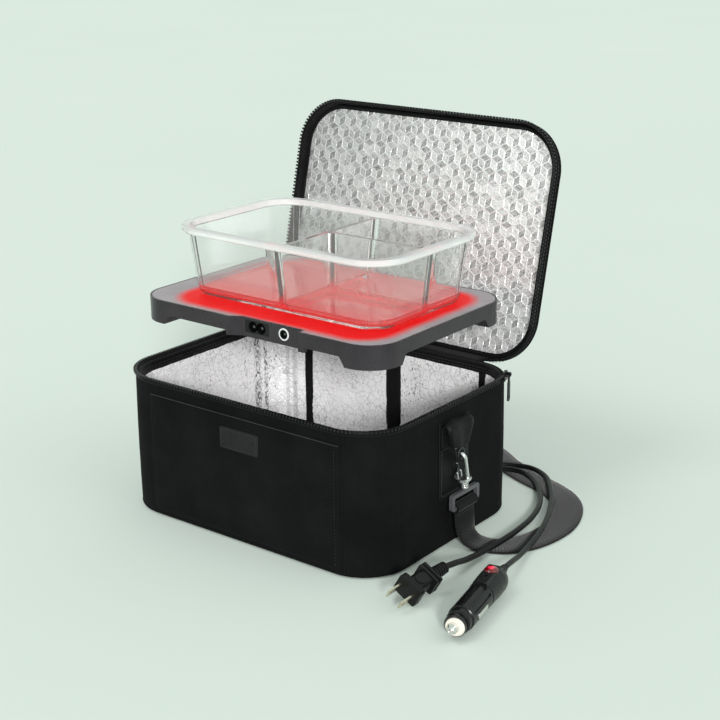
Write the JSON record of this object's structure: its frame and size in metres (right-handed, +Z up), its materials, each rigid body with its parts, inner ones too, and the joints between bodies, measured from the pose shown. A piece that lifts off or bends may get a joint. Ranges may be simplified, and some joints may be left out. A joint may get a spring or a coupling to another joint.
{
  "type": "electric lunch box",
  "caption": "Insulated zipped bag with a hinged lid, a low heating plate with mains and car sockets, a divided glass food container, a clip-on shoulder strap and loose power leads.",
  "frame": {"origin": "the middle of the bag's bottom face", "axes": "+X along the bag toward the end with the loose leads, -Y the front with the patch, +Y the back with the lid's hinge, +Z up"},
  "size_m": [0.4408, 0.3701, 0.3268],
  "materials": {
    "black_fabric": "woven, matte",
    "webbing": "woven webbing",
    "patch": "satin, blank",
    "foil": "crinkled foil",
    "foam": "closed-cell foam",
    "board": "pressed board",
    "zip_teeth": "moulded teeth",
    "dark_hardware": "dark plated",
    "buckle": "satin",
    "hook_metal": "plated",
    "housing": "fine grain",
    "plate": "brushed, grey",
    "element": "film heater",
    "pad": "felt",
    "cutout": "plain",
    "circuit": "circuit board",
    "socket_black": "moulded",
    "jack_white": "moulded",
    "clear_glass": "clear",
    "lead_black": "satin",
    "plug_black": "satin",
    "brass_parts": "plain",
    "nickel_parts": "plated",
    "lamp_red": "clear red"
  },
  "bodies": {
    "bag": {"outer_shell": "black_fabric", "bottom_board": "board", "foam_core": "foam", "foil_lining": "foil", "rim_facing": "black_fabric", "body_zipper_tape": "black_fabric", "body_zipper_teeth": "zip_teeth", "front_panel": "black_fabric", "label_patch": "patch", "inner_straps": "webbing", "hinge_seam": "black_fabric", "tab_base_right": "webbing", "tab_base_left": "webbing", "tab_flap_right": "webbing", "tab_flap_left": "webbing", "tab_eyelets": "dark_hardware", "strap_ring_right": "buckle", "strap_ring_left": "buckle", "shoulder_strap": "webbing", "strap_adjuster": "buckle", "zip_slider_right": "dark_hardware", "zip_slider_left": "dark_hardware", "ac_plug": "lead_black", "ac_plug_blades": "brass_parts", "ac_cord": "lead_black", "ac_coil": "lead_black", "ac_connector": "lead_black", "car_plug": "plug_black", "car_plug_lens": "lamp_red", "car_plug_ring": "brass_parts", "car_plug_contacts": "nickel_parts", "car_cord": "lead_black", "car_coil": "lead_black", "dc_connector": "lead_black", "coil_ties": "lead_black"},
    "lid": {"lid_cover": "black_fabric", "lid_foam": "foam", "lid_lining": "foil", "lid_facing": "black_fabric", "lid_zipper_tape": "black_fabric", "lid_zipper_teeth": "zip_teeth"},
    "heater": {"heater_housing": "housing", "heater_top_plate": "plate", "heating_element": "element", "insulation_pad": "pad", "thermostat": "cutout", "socket_board": "circuit", "ac_inlet": "socket_black", "ac_inlet_pins": "cutout", "dc_jack": "jack_white", "dc_jack_pin": "cutout", "housing_screws": "cutout"},
    "container": {"glass_container": "clear_glass"},
    "pull_right": {"zip_pull_right": "dark_hardware"},
    "pull_left": {"zip_pull_left": "dark_hardware"},
    "hook_right": {"snap_hook_right": "hook_metal"},
    "hook_left": {"snap_hook_left": "hook_metal"},
    "gate_right": {"hook_gate_right": "dark_hardware"},
    "gate_left": {"hook_gate_left": "dark_hardware"},
    "plug_tip": {"car_plug_tip": "nickel_parts"}
  },
  "joints": [
    {"name": "lid_hinge", "type": "hinge", "parent": "bag", "child": "lid", "pos_m": [0, 0.1042, 0.1224], "axis": [1, 0, 0], "range_deg": [0, 103.6]},
    {"name": "heater_lift", "type": "slide", "parent": "bag", "child": "heater", "axis": [0, 0, 1], "range_m": [-0.161, 0]},
    {"name": "container_lift", "type": "slide", "parent": "heater", "child": "container", "axis": [0, 0, -1], "range_m": [-0.1, 0]},
    {"name": "zip_pull_right_swing", "type": "hinge", "parent": "bag", "child": "pull_right", "pos_m": [0.14314, 0.0768, 0.1259], "axis": [0.2924, -0.9563, 0], "range_deg": [0, 150]},
    {"name": "zip_pull_left_swing", "type": "hinge", "parent": "bag", "child": "pull_left", "pos_m": [-0.14314, 0.0768, 0.1259], "axis": [0.2924, 0.9563, 0], "range_deg": [0, 150]},
    {"name": "hook_right_swivel", "type": "hinge", "parent": "bag", "child": "hook_right", "pos_m": [0.1484, -0.003, 0.0825], "axis": [0, -0.2079, 0.9781], "range_deg": [-25, 25]},
    {"name": "hook_left_swivel", "type": "hinge", "parent": "bag", "child": "hook_left", "pos_m": [-0.1484, -0.003, 0.0825], "axis": [0, -0.2079, 0.9781], "range_deg": [-25, 25]},
    {"name": "gate_right_swing", "type": "hinge", "parent": "hook_right", "child": "gate_right", "pos_m": [0.1438, 0.00116, 0.06294], "axis": [0, 0.9781, 0.2079], "range_deg": [0, 20], "stiffness_Nm_per_rad": 0.02},
    {"name": "gate_left_swing", "type": "hinge", "parent": "hook_left", "child": "gate_left", "pos_m": [-0.1438, 0.00116, 0.06294], "axis": [0, -0.9781, -0.2079], "range_deg": [0, 20], "stiffness_Nm_per_rad": 0.02},
    {"name": "plug_tip_press", "type": "slide", "parent": "bag", "child": "plug_tip", "axis": [-0.213, 0.977, 0], "range_m": [0, 0.003], "stiffness_N_per_m": 300}
  ],
  "couplings": [
    {"joint": "heater_lift", "follows": "lid_hinge", "m_per_rad": -0.089}
  ]
}
